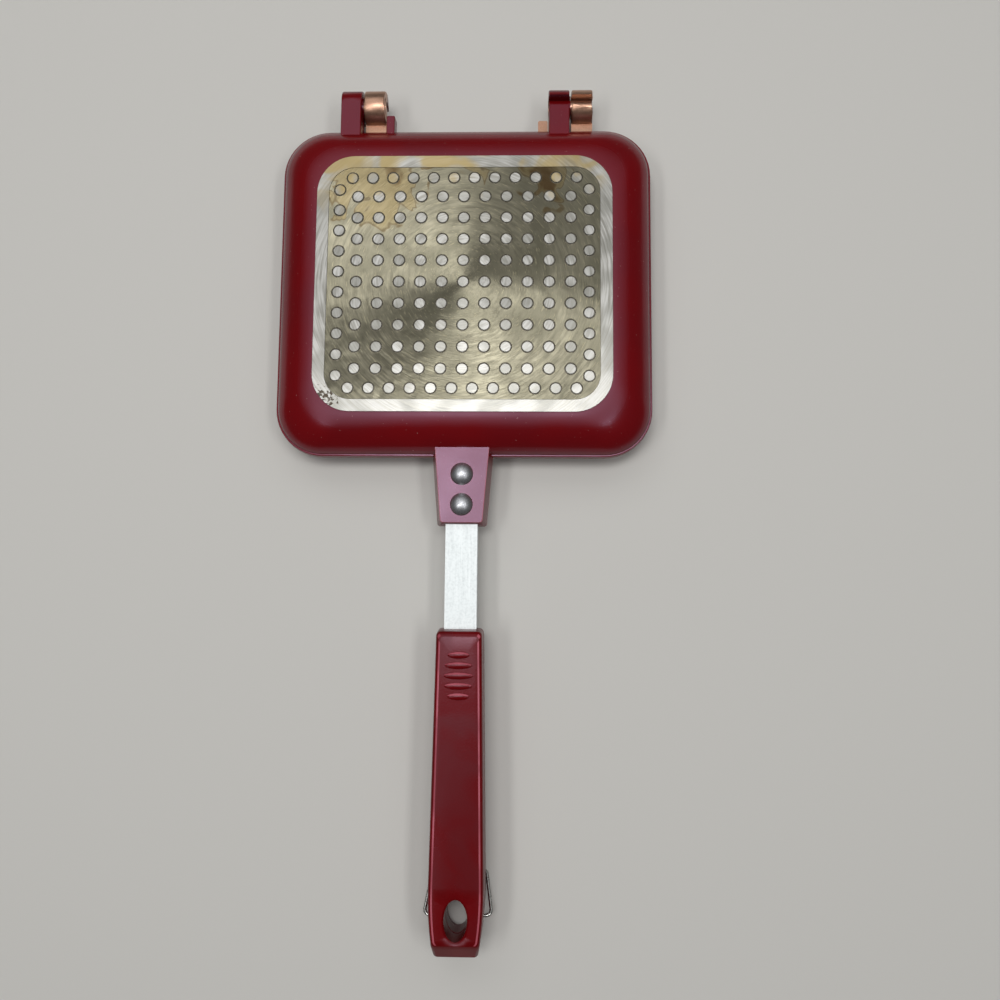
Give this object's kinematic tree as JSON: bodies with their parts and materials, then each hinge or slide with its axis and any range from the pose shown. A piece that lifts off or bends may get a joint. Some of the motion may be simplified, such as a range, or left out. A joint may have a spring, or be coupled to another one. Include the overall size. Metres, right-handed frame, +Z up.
{
  "type": "pie iron",
  "caption": "Double-sided hinged sandwich pan with riveted bar handles, moulded grips, perforated steel bases and a wire latch bail.",
  "frame": {"origin": "middle of the face that the lower pan stands on", "axes": "+Z up, +Y towards the hinge with the handles along -Y, +X to the right seen from the handle end"},
  "size_m": [0.176, 0.3993, 0.031],
  "materials": {
    "pan_enamel": "gloss",
    "base_plate_steel": "swirl-brushed perforated stainless steel, lightly heat-stained",
    "bar_aluminium": "satin",
    "rivet_steel": "domed, smooth",
    "grip_moulding": "dark red heat-proof moulding, satin gloss",
    "screw_steel": "zinc plated",
    "insert_brass": "turned",
    "pin_steel": "ground",
    "bail_wire": "drawn stainless wire"
  },
  "bodies": {
    "lower": {"lower_pan": "pan_enamel", "lower_base_plate": "base_plate_steel", "lower_handle_bar": "bar_aluminium", "lower_rivet_pan_side": "rivet_steel", "lower_rivet_grip_side": "rivet_steel", "lower_grip": "grip_moulding", "lower_screw_front": "screw_steel", "lower_screw_rear": "screw_steel", "lower_insert_front": "insert_brass", "lower_insert_rear": "insert_brass", "right_hinge_pin": "pin_steel"},
    "upper": {"upper_pan": "pan_enamel", "upper_base_plate": "base_plate_steel", "upper_handle_bar": "bar_aluminium", "upper_rivet_pan_side": "rivet_steel", "upper_rivet_grip_side": "rivet_steel", "upper_grip": "grip_moulding", "upper_screw_front": "screw_steel", "upper_screw_rear": "screw_steel", "upper_insert_front": "insert_brass", "upper_insert_rear": "insert_brass", "left_hinge_pin": "pin_steel"},
    "bail": {"latch_bail": "bail_wire"}
  },
  "joints": [
    {"name": "pan_hinge", "type": "hinge", "parent": "lower", "child": "upper", "pos_m": [0, 0.09195, 0.0155], "axis": [-1, 0, 0], "range_deg": [0, 180]},
    {"name": "bail_pivot", "type": "hinge", "parent": "lower", "child": "bail", "pos_m": [0, -0.2853, 0.0105], "axis": [-1, 0, 0], "range_deg": [-1, 209]}
  ]
}
